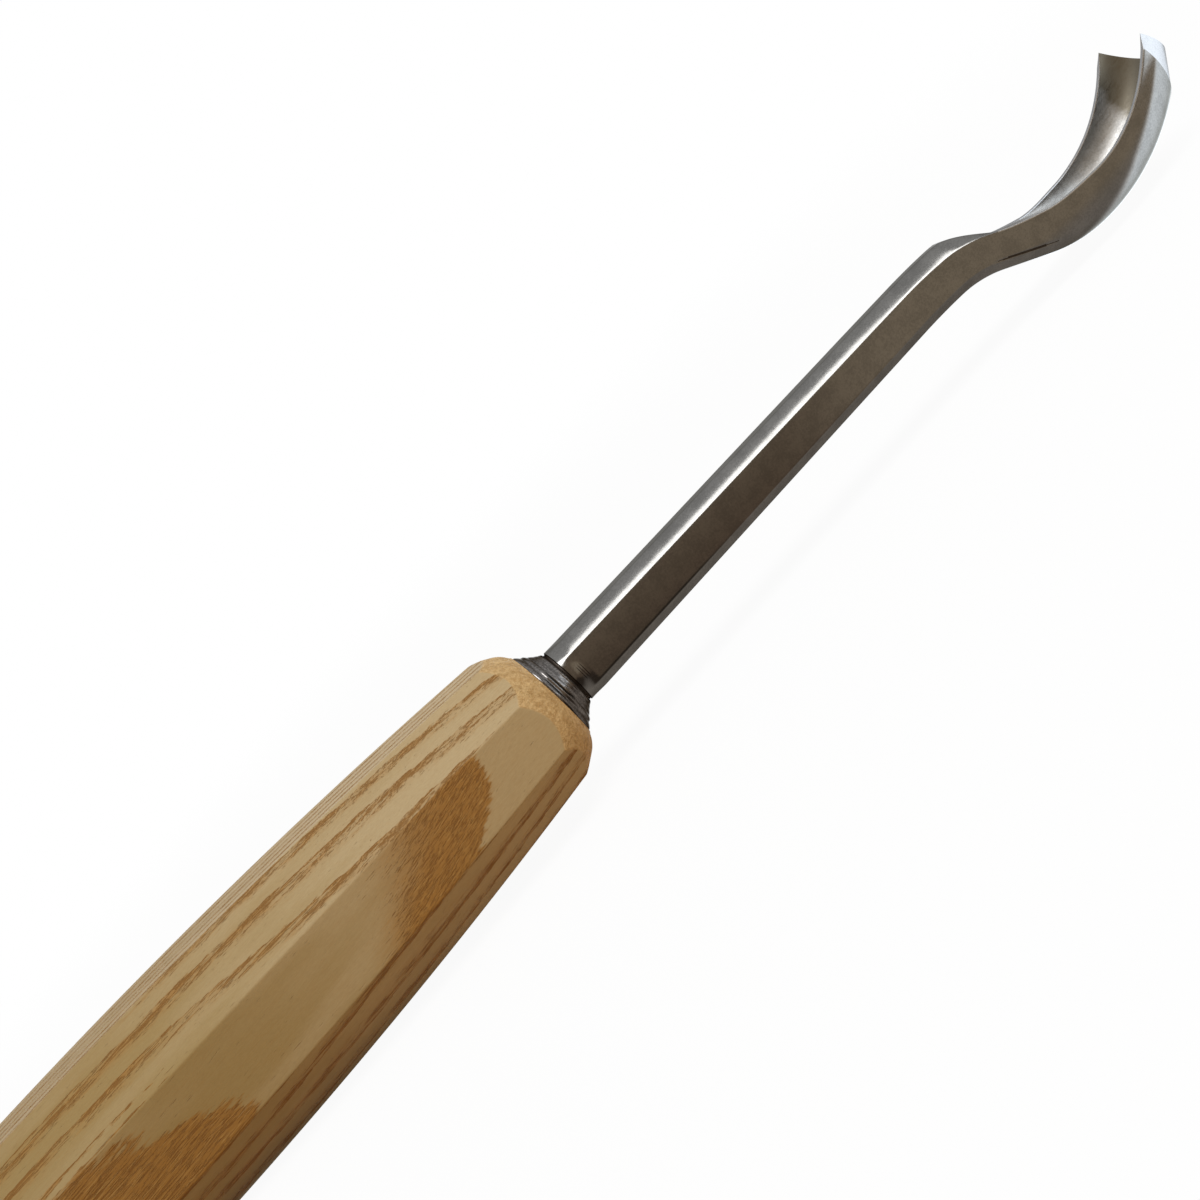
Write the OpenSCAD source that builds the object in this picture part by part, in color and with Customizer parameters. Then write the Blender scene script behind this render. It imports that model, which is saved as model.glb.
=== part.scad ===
// Short bent carving gouge: a forged steel blade with a deep U channel, driven into an octagonal ash handle.
// Millimetres. +X runs along the tool to the cutting edge, and the channel opens to +Z.
// The origin is the centre of the handle's butt face.

/* [Handle] */
// Length of the handle from the butt face to the bolster's seat
handle_l = 131.7; // [125:0.1:140]
// Widest distance across the handle's flats
handle_af = 26.8; // [25:0.2:30]
// Distance from the butt face to the widest place
belly_x = 51; // [45:1:60]
// Radius of the swell that each flat follows lengthwise
swell_r = 800; // [700:10:1200]
// Radius of the turned front face at the bolster
nose_face_r = 7.05; // [6.85:0.05:7.3]
// Radius of the rounding between the front face and the turned chamfer
nose_round_r = 4.2; // [3:0.2:6]
// Angle of the turned chamfer to the axis
nose_angle = 31.5; // [26:0.5:36]
// Radius of the flat that is left on the butt
butt_face_r = 7.5; // [5:0.5:9]
// Length of the turned rounding at the butt
butt_l = 5.5; // [4:0.5:8]

/* [Bolster] */
// Radius of the bolster where it seats on the wood
bolster_r = 6.75; // [6.5:0.05:6.75]
// Length of the bolster from its seat to the shank
bolster_l = 3.7; // [3.2:0.1:4.2]
// Radius of the turned neck between the bolster and the shank
neck_r = 4.3; // [4.1:0.05:4.4]

/* [Shank] */
// Length of the straight shank from the seat to the first gentle bend
shank_l = 70.2; // [64:0.1:84]
// Width of the shank across its side flats
shank_w = 6.2; // [5.8:0.1:6.8]
// Height of the shank beside the bolster
shank_h = 8.3; // [7.8:0.1:8.5]
// Height of the shank where the bending begins
shank_end_h = 7.4; // [7:0.1:8]
// Width of the two upper chamfers
top_chamfer = 1.85; // [1.2:0.05:2.1]
// Width of the two lower chamfers
low_chamfer = 1.3; // [1:0.1:1.6]

/* [Crank] */
// Radius of the gentle bend that leads into the crank, along the keel
sweep_r = 100; // [60:5:200]
// Angle of the gentle bend
sweep_angle = 4; // [2:0.1:6]
// Radius of the sharper bend that follows, along the keel
crank_r = 16.8; // [13:0.2:22]
// Angle of the sharper bend
crank_angle = 23.5; // [19:0.1:28]
// Straight length between the crank and the spoon's heel
ramp_l = 7.3; // [6:0.1:11]
// Height of the steel at the waist, where the channel begins
waist_h = 5.15; // [4.8:0.05:5.6]

/* [Spoon] */
// Radius of the short bend at the spoon's heel, along the keel
heel_r = 23.8; // [18:0.1:30]
// Angle of the short bend at the heel
heel_angle = 29.6; // [24:0.1:34]
// Radius of the spoon along its keel
spoon_r = 30.9; // [26:0.1:36]
// Angle that the spoon turns through up to the edge
spoon_angle = 46; // [40:0.1:52]
// Outside width of the spoon
spoon_w = 12.8; // [12:0.1:15]
// Depth of the spoon from its rims to its keel, half way along
spoon_h = 7.2; // [6.5:0.05:8]
// Depth of the spoon at the cutting edge
edge_h = 7.6; // [6.5:0.05:8]
// How far the two corners of the edge stand ahead of its middle
edge_lead = 1.2; // [0:0.1:3]
// Thickness of the wall at the rims
rim_t = 0.7; // [0.6:0.05:0.9]
// Thickness of the wall at the keel
keel_t = 1.5; // [1.2:0.05:1.8]
// Length of the ground bevel at the keel
keel_bevel = 6.9; // [4:0.1:7.5]
// Length of the ground bevel at the two corners
rim_bevel = 2.7; // [1.5:0.1:3]
// Thickness left at the cutting edge
edge_t = 0.06; // [0.05:0.01:0.1]

/* [Tang] */
// Length of the tang inside the handle
tang_l = 64; // [50:1:75]
// Side of the square tang at the bolster
tang_root = 6.6; // [6:0.1:7]
// Side of the square tang at its point
tang_tip = 2.4; // [2:0.1:3]

/* [Inner ferrule] */
// Outside radius of the ring in the handle's end grain
ferrule_r = 6.2; // [6:0.1:6.4]
// Inside radius of the ring
ferrule_bore_r = 5.2; // [5.1:0.05:5.4]
// Length of the ring
ferrule_l = 11; // [8:0.5:14]

/* [Hidden] */

FLATS = 8;
ROUND_FN = 96;
SWELL_FN = 720;
ARC_STEPS = 8;

// Steps round a quarter of the spoon's section, and along the parts of the blade
QUARTER = 12;
NECK_RINGS = 4;
SWEEP_RINGS = 5;
CRANK_RINGS = 8;
RAMP_RINGS = 4;
HEEL_RINGS = 5;
SPOON_RINGS = 22;

// Where the round neck has turned into the flat-sided shank
neck_end_x = 6.2;
// Where the neck begins, past the narrow groove that ends the bolster
neck_root_x = bolster_l - 0.3;

// Arc lengths along the keel, counted from the end of the straight shank
sweep_s = sweep_r * sweep_angle * PI / 180;
crank_s = sweep_s + crank_r * crank_angle * PI / 180;
ramp_s = crank_s + ramp_l;
heel_s = ramp_s + heel_r * heel_angle * PI / 180;
spoon_s = heel_s + spoon_r * spoon_angle * PI / 180;
// The top falls away from its brow down to the waist, where the crank ends
brow_s = sweep_s + 1.7;
waist_s = crank_s - 0.2;
// How much of that fall is straight, so that the brow stays a corner
FALL_STRAIGHT = 0.65;
// The spoon has its full depth here, and its full width a little later
full_s = 0.54 * spoon_s;
wide_s = sweep_s + full_s;
// The flat sides have rolled into the round of the spoon between these two
round_start_s = brow_s + 2;
round_end_s = heel_s - 1;
// The channel has its full depth here
channel_s = heel_s + 4;

function ease(t) = let (c = max(0, min(1, t))) c * c * (3 - 2 * c);
function mix(a, b, t) = a + (b - a) * t;
function blend(a, b, s, from, to) = mix(a, b, ease((s - from) / (to - from)));

// Point and direction after an arc of radius r, bending up for a positive r, from a start [x, z, angle]
function after_arc(start, r, length) =
    let (turn = length / r * 180 / PI, a = start[2])
    [start[0] + r * (sin(a + turn) - sin(a)), start[1] - r * (cos(a + turn) - cos(a)), a + turn];
function after_line(start, length) =
    [start[0] + length * cos(start[2]), start[1] + length * sin(start[2]), start[2]];

keel_0 = [handle_l + shank_l, -shank_end_h / 2, 0];
keel_1 = after_arc(keel_0, -sweep_r, sweep_s);
keel_2 = after_arc(keel_1, -crank_r, crank_s - sweep_s);
keel_3 = after_line(keel_2, ramp_l);
keel_4 = after_arc(keel_3, heel_r, heel_s - ramp_s);

// Keel point and direction at arc length s; negative s lies on the straight shank
function keel(s) =
    s < 0 ? [handle_l + shank_l + s, -height(s) / 2, 0]
    : s < sweep_s ? after_arc(keel_0, -sweep_r, s)
    : s < crank_s ? after_arc(keel_1, -crank_r, s - sweep_s)
    : s < ramp_s ? after_line(keel_2, s - crank_s)
    : s < heel_s ? after_arc(keel_3, heel_r, s - ramp_s)
    : after_arc(keel_4, spoon_r, s - heel_s);

function fall(t) = mix(ease(t), t, FALL_STRAIGHT);
function height(s) =
    s < 0 ? mix(shank_end_h, shank_h, -s / shank_l)
    : s < brow_s ? shank_end_h
    : s < waist_s ? mix(shank_end_h, waist_h, fall((s - brow_s) / (waist_s - brow_s)))
    : s < full_s ? blend(waist_h, spoon_h, s, waist_s, full_s)
    : blend(spoon_h, edge_h, s, full_s, spoon_s);
function half_width(s) = blend(shank_w / 2, spoon_w / 2, s, sweep_s, wide_s);
// The chamfer's lower arris keeps its height over the keel, and meets the rim at the waist
function arris_h(s) = blend(shank_end_h - top_chamfer, waist_h, s, 0, waist_s);
function chamfer_at(s) =
    s < 0 ? top_chamfer
    : s < waist_s ? height(s) - arris_h(s)
    : 0;
function rim_at(s) = blend(top_chamfer, rim_t, s, brow_s, waist_s);
function channel_depth(s) =
    blend(0, 1, s, waist_s - 1, channel_s) * (height(s) - keel_t);

// Section points are [side, up from the keel], with i = 0 at the rim and i = QUARTER at the keel
function round_point(i, s) =
    let (t = 90 * i / QUARTER)
    [half_width(s) * cos(t), height(s) * (1 - sin(t))];
function boxed_point(i, s) =
    let (
        w = half_width(s),
        top = height(s) - chamfer_at(s),
        side_end = QUARTER - 5,
        chamfer_end = QUARTER - 2
    )
    i <= side_end ? [w, mix(top, low_chamfer, i / side_end)]
    : i <= chamfer_end ? mix([w, low_chamfer], [w - low_chamfer, 0], (i - side_end) / (chamfer_end - side_end))
    : [mix(w - low_chamfer, 0, (i - chamfer_end) / (QUARTER - chamfer_end)), 0];
function outer_point(i, s) =
    mix(boxed_point(i, s), round_point(i, s), ease((s - round_start_s) / (round_end_s - round_start_s)));
// Channel floor, with i = 0 at the rim's inner edge; on the shank it lies flat in the top face
function inner_point(i, s) =
    let (t = 90 * i / QUARTER)
    [(half_width(s) - rim_at(s)) * cos(t), height(s) - channel_depth(s) * sin(t)];

// Places a section point on the blade, side +1 for left and -1 for right
function place(p, s, side) =
    let (k = keel(s))
    [k[0] - p[1] * sin(k[2]), side * p[0], k[1] + p[1] * cos(k[2])];

// Arc length at which section step i meets the cutting edge, and the length of the bevel there
function end_s(i) = spoon_s - edge_lead * sin(90 * i / QUARTER);
function bevel_at(i) = mix(rim_bevel, keel_bevel, sin(90 * i / QUARTER));
function outer_3d(i, s, side) = place(outer_point(i, s), s, side);
function inner_3d(i, s, side) = place(inner_point(i, s), s, side);

// On the edge the outside comes down onto the channel floor
function edge_outer(i, side) =
    place(inner_point(i, end_s(i)) + edge_t * [cos(90 * i / QUARTER), -sin(90 * i / QUARTER)], end_s(i), side);
function heel_outer(i, side) = outer_3d(i, end_s(i) - bevel_at(i), side);

// One ring, from the two point functions' lists: outside left to right, then the channel back to the left
function ring(outer_left, outer_right, inner_left, inner_right) = concat(
    [inner_left[0]],
    outer_left,
    [for (i = [QUARTER - 1:-1:0]) outer_right[i]],
    [inner_right[0]],
    [for (i = [1:QUARTER]) inner_right[i]],
    [for (i = [QUARTER - 1:-1:1]) inner_left[i]]
);
function steps() = [0:QUARTER];

// A ring square to the keel
function square_ring(s) = ring(
    [for (i = steps()) outer_3d(i, s, 1)],
    [for (i = steps()) outer_3d(i, s, -1)],
    [for (i = steps()) inner_3d(i, s, 1)],
    [for (i = steps()) inner_3d(i, s, -1)]
);
// A ring in the spoon, which leans over by degrees until it lies along the bevel's heel
function leaning_s(i, t) = mix(heel_s, end_s(i) - bevel_at(i), t);
function spoon_ring(t) = ring(
    [for (i = steps()) outer_3d(i, leaning_s(i, t), 1)],
    [for (i = steps()) outer_3d(i, leaning_s(i, t), -1)],
    [for (i = steps()) inner_3d(i, leaning_s(i, t), 1)],
    [for (i = steps()) inner_3d(i, leaning_s(i, t), -1)]
);
// A ring on the ground bevel, t = 0 at its heel and 1 at the edge
function bevel_s(i, t) = end_s(i) - bevel_at(i) * (1 - t);
function bevel_ring(t) = ring(
    [for (i = steps()) mix(heel_outer(i, 1), edge_outer(i, 1), t)],
    [for (i = steps()) mix(heel_outer(i, -1), edge_outer(i, -1), t)],
    [for (i = steps()) inner_3d(i, bevel_s(i, t), 1)],
    [for (i = steps()) inner_3d(i, bevel_s(i, t), -1)]
);
// A ring where the round neck turns into the shank, t = 0 on the neck and 1 on the shank
function neck_swell(p, t) =
    let (a = atan2(p[2], p[1]))
    mix([p[0], neck_r * cos(a), neck_r * sin(a)], p, ease(t));
function neck_ring(t) =
    let (x = mix(neck_root_x, neck_end_x, t))
    [for (p = square_ring(x - shank_l)) neck_swell(p, t)];

blade_rings = concat(
    [for (k = [0:NECK_RINGS]) neck_ring(k / NECK_RINGS)],
    [square_ring(-shank_l / 2)],
    [for (k = [0:SWEEP_RINGS - 1]) square_ring(brow_s * k / SWEEP_RINGS)],
    [for (k = [0:CRANK_RINGS - 1]) square_ring(mix(brow_s, waist_s, k / CRANK_RINGS))],
    [for (k = [0:RAMP_RINGS - 1]) square_ring(mix(waist_s, ramp_s, k / RAMP_RINGS))],
    [for (k = [0:HEEL_RINGS - 1]) square_ring(mix(ramp_s, heel_s, k / HEEL_RINGS))],
    [for (k = [0:SPOON_RINGS]) spoon_ring(k / SPOON_RINGS)],
    [bevel_ring(0.5), bevel_ring(1)]
);

// Faces between the outside and the channel side of a ring of n points that starts at number first
function cap_faces(n, first) = [
    for (i = [1:n / 2 - 1])
        let (a = first + i, b = first + n - i, c = first + (n + 1 - i) % n)
            for (f = [[a, a + 1, b], [a, b, c]]) f
];
function turned_over(faces) = [for (f = faces) [f[2], f[1], f[0]]];

// Skin over a list of closed rings of equal length, with a cap at each end
module skin(rings) {
    n = len(rings[0]);
    last = len(rings) - 1;
    points = [for (r = rings) for (p = r) p];
    walls = [
        for (k = [0:last - 1])
            for (i = [0:n - 1])
                let (a = k * n + i, b = k * n + (i + 1) % n)
                    for (f = [[a, b, b + n], [a, b + n, a + n]]) f
    ];
    polyhedron(
        points,
        concat(walls, turned_over(cap_faces(n, 0)), cap_faces(n, last * n)),
        convexity = 6
    );
}

// Solid turned about the tool's axis from [radius, x] points
module turned(profile) {
    rotate([0, 90, 0])
        rotate_extrude($fn = ROUND_FN)
            polygon(profile);
}

// Points of a quarter turn about a centre, from one angle to another
function arc_points(c, r, from, to) =
    [for (k = [0:ARC_STEPS]) let (a = mix(from, to, k / ARC_STEPS)) c + r * [cos(a), sin(a)]];

// Square bar that tapers along the axis from the seat down to its point
module tang_solid() {
    half_side = [
        [handle_l - tang_l, -tang_tip / 2],
        [handle_l, -tang_root / 2],
        [handle_l, tang_root / 2],
        [handle_l - tang_l, tang_tip / 2]
    ];
    intersection() {
        linear_extrude(tang_root, center = true)
            polygon(half_side);
        rotate([90, 0, 0])
            linear_extrude(tang_root, center = true)
                polygon(half_side);
    }
}

module bolster_solid() {
    base_t = 0.1;
    shoulder_r = 0.35;
    cone_r = neck_r + 0.12;
    cone_x = handle_l + bolster_l - 0.75;
    flare_r = cone_r + 0.33;
    groove_r = neck_r - 0.18;
    // The last stretch narrows inside the neck, so that the two cross squarely
    root_r = neck_r - 0.6;
    root_x = handle_l + bolster_l - 0.15;
    turned(concat(
        [[0, handle_l], [bolster_r, handle_l], [bolster_r, handle_l + base_t]],
        arc_points([bolster_r - shoulder_r, handle_l + base_t], shoulder_r, 8, 46),
        [[flare_r, cone_x - 0.65], [cone_r, cone_x], [groove_r, cone_x + 0.1]],
        [[groove_r, root_x - 0.3], [root_r, root_x], [0, root_x]]
    ));
}

module blade() {
    color("slategray")
        union() {
            skin(blade_rings);
            bolster_solid();
            tang_solid();
        }
}

// Barrel with eight flats: each flat follows one long arc from end to end
module swelled_octagon() {
    intersection_for (k = [0:FLATS - 1])
        rotate([k * 360 / FLATS, 0, 0])
            translate([belly_x, 0, handle_af / 2 - swell_r])
                rotate([90, 0, 0])
                    cylinder(r = swell_r, h = handle_af * 1.5, center = true, $fn = SWELL_FN);
}

// Turned blank that rounds the butt and the front, wider than the flats between the two
module turned_blank() {
    blank_r = handle_af * 0.58;
    round_start = 63.5;
    round_foot = [nose_face_r + 0.2, handle_l - 0.2];
    round_centre = round_foot - nose_round_r * [cos(round_start), sin(round_start)];
    chamfer_foot = round_centre + nose_round_r * [cos(nose_angle), sin(nose_angle)];
    chamfer_x = chamfer_foot[1] - (blank_r - chamfer_foot[0]) / tan(nose_angle);
    turned(concat(
        [[0, 0], [butt_face_r, 0]],
        arc_points([butt_face_r, butt_l], butt_l, -80, -10),
        [[blank_r, butt_l + 3], [blank_r, chamfer_x]],
        arc_points(round_centre, nose_round_r, nose_angle, round_start),
        [[nose_face_r, handle_l], [0, handle_l]]
    ));
}

module ferrule_ring() {
    turned([
        [ferrule_bore_r, handle_l - ferrule_l],
        [ferrule_r, handle_l - ferrule_l],
        [ferrule_r, handle_l],
        [ferrule_bore_r, handle_l]
    ]);
}

module handle() {
    color("burlywood")
        difference() {
            intersection() {
                swelled_octagon();
                turned_blank();
            }
            tang_solid();
            ferrule_ring();
        }
}

module inner_ferrule() {
    color("silver")
        ferrule_ring();
}

blade();
handle();
inner_ferrule();
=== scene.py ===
"""Looks of a short bent carving gouge: a forged steel blade in an octagonal ash handle, on a pale floor."""

import logging
import math
from collections.abc import Callable
from dataclasses import dataclass
from enum import Enum

import bpy
import numpy as np
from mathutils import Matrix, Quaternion, Vector, noise


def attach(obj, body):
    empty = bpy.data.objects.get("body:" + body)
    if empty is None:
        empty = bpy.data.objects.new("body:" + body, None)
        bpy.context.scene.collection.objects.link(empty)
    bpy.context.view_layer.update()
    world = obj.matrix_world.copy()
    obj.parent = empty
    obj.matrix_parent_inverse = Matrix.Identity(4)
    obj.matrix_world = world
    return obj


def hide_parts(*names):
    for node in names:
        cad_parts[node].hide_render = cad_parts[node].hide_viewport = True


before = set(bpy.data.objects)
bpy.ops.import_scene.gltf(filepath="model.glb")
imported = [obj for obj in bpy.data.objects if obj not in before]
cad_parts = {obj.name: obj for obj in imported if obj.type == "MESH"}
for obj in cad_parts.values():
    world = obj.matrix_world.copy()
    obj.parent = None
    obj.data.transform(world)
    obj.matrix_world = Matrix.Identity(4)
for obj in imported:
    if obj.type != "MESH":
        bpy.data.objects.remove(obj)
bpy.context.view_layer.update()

log = logging.getLogger("gouge")

MM = 0.001
BODY = "root"

Number = float | np.ndarray
Triple = tuple[float, float, float]
# A side function takes section steps from 0 at the rim to 1 at the keel and gives one [x, y, z] row for each
SectionSide = Callable[[np.ndarray], np.ndarray]


class SteelZone(Enum):
    """Finishes of the steel, in the order of the blade's material slots."""

    FORGED = 0
    TURNED = 1
    GROUND = 2
    CHANNEL = 3
    # Painted shade: the dark finish in the crease and in the groove before the neck
    CREASE = 4


def ease(t: Number) -> Number:
    """Smooth step from 0 at t = 0 to 1 at t = 1."""
    c = np.clip(t, 0.0, 1.0)
    return c * c * (3.0 - 2.0 * c)


def mix(a: Number, b: Number, t: Number) -> Number:
    """Straight mix, a at t = 0 and b at t = 1."""
    return a + (b - a) * t


def blend(a: float, b: float, s: Number, start: float, end: float) -> Number:
    """Eased change from a to b while s runs from start to end."""
    return mix(a, b, ease((np.asarray(s, float) - start) / (end - start)))


def column(values: np.ndarray) -> np.ndarray:
    """Turns a list of numbers into a column, so that it scales rows of points."""
    return np.asarray(values, float)[:, None]


def corner_curve(before: np.ndarray, corner: np.ndarray, after: np.ndarray, u: np.ndarray) -> np.ndarray:
    """Points at the shares u of a rounding that leaves one side at before and meets the next at after."""
    return (1 - u) ** 2 * before + 2 * u * (1 - u) * corner + u**2 * after


def soft_corner(before: np.ndarray, corner: np.ndarray, after: np.ndarray, steps: int) -> np.ndarray:
    """Points of a small rounding over a corner in even steps, without its two ends."""
    return corner_curve(before, corner, after, column(np.arange(1, steps) / steps))


def smooth_min(a: np.ndarray, b: np.ndarray, width: float) -> np.ndarray:
    """Lesser of two radii, rounded where they differ by less than width."""
    h = np.clip(0.5 + 0.5 * (b - a) / width, 0.0, 1.0)
    return mix(b, a, h) - width * h * (1.0 - h)


def skin_mesh(
    name: str, rings: np.ndarray, end_faces: list[list[int]], sharp_deg: float
) -> bpy.types.Object:
    """Builds one closed mesh over rings of equal length.

    Args:
        name: Name of the object and its mesh.
        rings: Array of rings by points by [x, y, z], in millimetres.
        end_faces: Faces that close the last ring, as point numbers in that ring.
        sharp_deg: Edges that turn by more than this stay sharp.

    Returns:
        The new object, linked to the scene.
    """
    count, n = rings.shape[:2]
    step = np.arange(n)
    following = (step + 1) % n
    first = (np.arange(count - 1) * n)[:, None]
    walls = np.stack([first + step, first + following, first + n + following, first + n + step], -1)
    faces = walls.reshape(-1, 4).tolist()
    faces.append(list(range(n - 1, -1, -1)))
    last = (count - 1) * n
    faces += [[last + k for k in face] for face in end_faces]
    mesh = bpy.data.meshes.new(name)
    mesh.from_pydata((rings.reshape(-1, 3) * MM).tolist(), [], faces)
    mesh.shade_smooth()
    mesh.set_sharp_from_angle(angle=math.radians(sharp_deg))
    mesh.validate()
    made = bpy.data.objects.new(name, mesh)
    bpy.context.scene.collection.objects.link(made)
    return made


@dataclass(frozen=True)
class KeelStretch:
    """One stretch of the keel line, straight or round."""

    start_s: float
    x: float
    z: float
    angle: float
    curvature: float

    def at(self, s: np.ndarray) -> tuple[np.ndarray, np.ndarray, np.ndarray]:
        """Follows the stretch.

        Args:
            s: Arc lengths along the whole keel.

        Returns:
            x, z and the direction in radians at each s.
        """
        run = s - self.start_s
        turned = self.angle + run * self.curvature
        if self.curvature == 0.0:
            return self.x + run * math.cos(self.angle), self.z + run * math.sin(self.angle), turned
        r = 1.0 / self.curvature
        x = self.x + r * (np.sin(turned) - math.sin(self.angle))
        z = self.z - r * (np.cos(turned) - math.cos(self.angle))
        return x, z, turned


@dataclass
class Blade:
    """The forging: tang, bolster, shank, crank and spoon, in millimetres along +X from the handle's butt."""

    seat_x: float = 131.7
    tang_l: float = 64.0
    tang_root: float = 6.6
    tang_tip: float = 2.4
    bolster_r: float = 6.75
    bolster_l: float = 3.7
    bolster_base: float = 0.1
    shoulder_r: float = 0.35
    shoulder_from_deg: float = 8.0
    shoulder_to_deg: float = 46.0
    cone_hollow: float = 0.1
    cone_lip: float = 0.12
    # Turned rings on the bolster: place from the seat, half width and depth of each
    turned_rings: tuple[Triple, ...] = (
        (0.8, 0.16, 0.09),
        (1.18, 0.16, -0.09),
        (1.5, 0.08, 0.05),
        (2.1, 0.13, 0.05),
        (2.32, 0.07, 0.035),
        (2.55, 0.1, 0.05),
    )
    groove_l: float = 0.75
    groove_depth: float = 0.2
    groove_x: float = 3.12
    # Half width of the painted shade in the groove
    groove_shade: float = 0.33
    neck_r: float = 4.3
    neck_root: float = 3.4
    neck_end: float = 6.2
    shank_l: float = 70.2
    shank_w: float = 6.2
    shank_h: float = 8.3
    shank_end_h: float = 7.4
    top_chamfer: float = 1.85
    low_chamfer: float = 1.3
    low_arris: float = 0.03
    sweep_r: float = 100.0
    sweep_deg: float = 4.0
    crank_r: float = 16.8
    crank_deg: float = 23.5
    ramp_l: float = 7.3
    heel_r: float = 23.8
    heel_deg: float = 29.6
    spoon_r: float = 30.9
    spoon_deg: float = 46.0
    # The brow and the waist of the crank, and where along the keel the section changes
    brow_past_sweep: float = 1.35
    brow_chamfer: float = 1.13
    brow_chamfer_from: float = -10.0
    waist_before_ramp: float = 0.2
    waist_h: float = 5.15
    fall_straight: float = 0.65
    full_share: float = 0.54
    round_past_brow: float = 2.0
    round_before_spoon: float = 1.0
    channel_before_waist: float = 1.0
    channel_past_heel: float = 4.0
    spoon_w: float = 12.8
    spoon_h: float = 7.2
    edge_h: float = 7.6
    edge_lead: float = 1.9
    edge_t: float = 0.06
    rim_t: float = 0.7
    keel_t: float = 1.5
    keel_bevel: float = 6.2
    rim_bevel: float = 2.7
    camber: float = 0.026
    arris_soft: float = 0.28
    crease_up: float = 1.35
    crease_start: float = 10.8
    crease_end: float = 23.0
    crease_in: float = 2.5
    crease_out: float = 3.0
    crease_depth: float = 0.13
    crease_w: float = 0.17
    # Share of the crease's width that gets the painted shade
    crease_shade: float = 0.85
    # Section steps of 0 to 1 at which the side and the lower chamfer end, and how finely the mesh is divided
    side_end: float = 7 / 12
    chamfer_end: float = 10 / 12
    section_steps: int = 60
    land_steps: int = 14
    corner_steps: int = 4
    shoulder_steps: int = 6
    cone_steps: int = 34
    neck_rings: int = 16
    shank_rings: int = 26
    sweep_rings: int = 20
    brow_rings: int = 16
    ramp_rings: int = 22
    heel_rings: int = 24
    spoon_rings: int = 64
    bevel_rings: int = 9
    sharp_deg: float = 24.0

    def __post_init__(self) -> None:
        """Works out the keel's stretches and the places along it."""
        self.sweep_s = self.sweep_r * math.radians(self.sweep_deg)
        self.crank_s = self.sweep_s + self.crank_r * math.radians(self.crank_deg)
        self.ramp_s = self.crank_s + self.ramp_l
        self.heel_s = self.ramp_s + self.heel_r * math.radians(self.heel_deg)
        self.spoon_s = self.heel_s + self.spoon_r * math.radians(self.spoon_deg)
        self.brow_s = self.sweep_s + self.brow_past_sweep
        self.waist_s = self.crank_s - self.waist_before_ramp
        self.full_s = self.full_share * self.spoon_s
        self.wide_s = self.sweep_s + self.full_s
        self.round_start_s = self.brow_s + self.round_past_brow
        self.round_end_s = self.heel_s - self.round_before_spoon
        self.channel_start_s = self.waist_s - self.channel_before_waist
        self.channel_s = self.heel_s + self.channel_past_heel
        self.keel: list[KeelStretch] = []
        x, z, angle = self.seat_x + self.shank_l, -self.shank_end_h / 2, 0.0
        curves = (
            (0.0, self.sweep_s, -1 / self.sweep_r),
            (self.sweep_s, self.crank_s, -1 / self.crank_r),
            (self.crank_s, self.ramp_s, 0.0),
            (self.ramp_s, self.heel_s, 1 / self.heel_r),
            (self.heel_s, self.spoon_s, 1 / self.spoon_r),
        )
        for start, end, curvature in curves:
            stretch = KeelStretch(start, float(x), float(z), float(angle), curvature)
            self.keel.append(stretch)
            x, z, angle = stretch.at(np.float64(end))

    def keel_at(self, s: np.ndarray) -> tuple[np.ndarray, np.ndarray, np.ndarray]:
        """Point and direction of the keel.

        Args:
            s: Arc lengths from the end of the straight shank, negative on the shank.

        Returns:
            x, z and the direction in radians.
        """
        s = np.asarray(s, float)
        x = self.seat_x + self.shank_l + s
        z = -self.height(s) / 2
        angle = np.zeros_like(s)
        for stretch in self.keel:
            past = s >= stretch.start_s
            sx, sz, sa = stretch.at(s)
            x, z, angle = np.where(past, sx, x), np.where(past, sz, z), np.where(past, sa, angle)
        return x, z, angle

    def height(self, s: np.ndarray) -> np.ndarray:
        """Height of the steel from the keel to the rims or the top flat.

        Args:
            s: Arc lengths.

        Returns:
            The height at each.
        """
        shank = mix(self.shank_end_h, self.shank_h, -s / self.shank_l)
        down = np.clip((s - self.brow_s) / (self.waist_s - self.brow_s), 0.0, 1.0)
        crank = mix(self.shank_end_h, self.waist_h, mix(ease(down), down, self.fall_straight))
        bowl = blend(self.waist_h, self.spoon_h, s, self.waist_s, self.full_s)
        mouth = blend(self.spoon_h, self.edge_h, s, self.full_s, self.spoon_s)
        return np.select([s < 0, s < self.waist_s, s < self.full_s], [shank, crank, bowl], mouth)

    def half_width(self, s: np.ndarray) -> np.ndarray:
        """Half of the outside width."""
        return blend(self.shank_w / 2, self.spoon_w / 2, s, self.sweep_s, self.wide_s)

    def rim(self, s: np.ndarray) -> np.ndarray:
        """Width of the upper chamfer, which widens toward the brow and then narrows to the rim."""
        chamfer = self.top_chamfer * blend(1.0, self.brow_chamfer, s, self.brow_chamfer_from, self.brow_s)
        return mix(chamfer, self.rim_t, ease((s - self.brow_s) / (self.waist_s - self.brow_s)))

    def chamfer(self, s: np.ndarray) -> np.ndarray:
        """Drop of the upper chamfer, whose lower arris meets the rim at the waist.

        Args:
            s: Arc lengths.

        Returns:
            The drop at each.
        """
        arris = blend(self.shank_end_h - self.top_chamfer, self.waist_h, s, 0.0, self.waist_s)
        crank = np.where(s < self.waist_s, self.height(s) - arris, 0.0)
        return np.where(s < 0, self.top_chamfer, crank)

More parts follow.
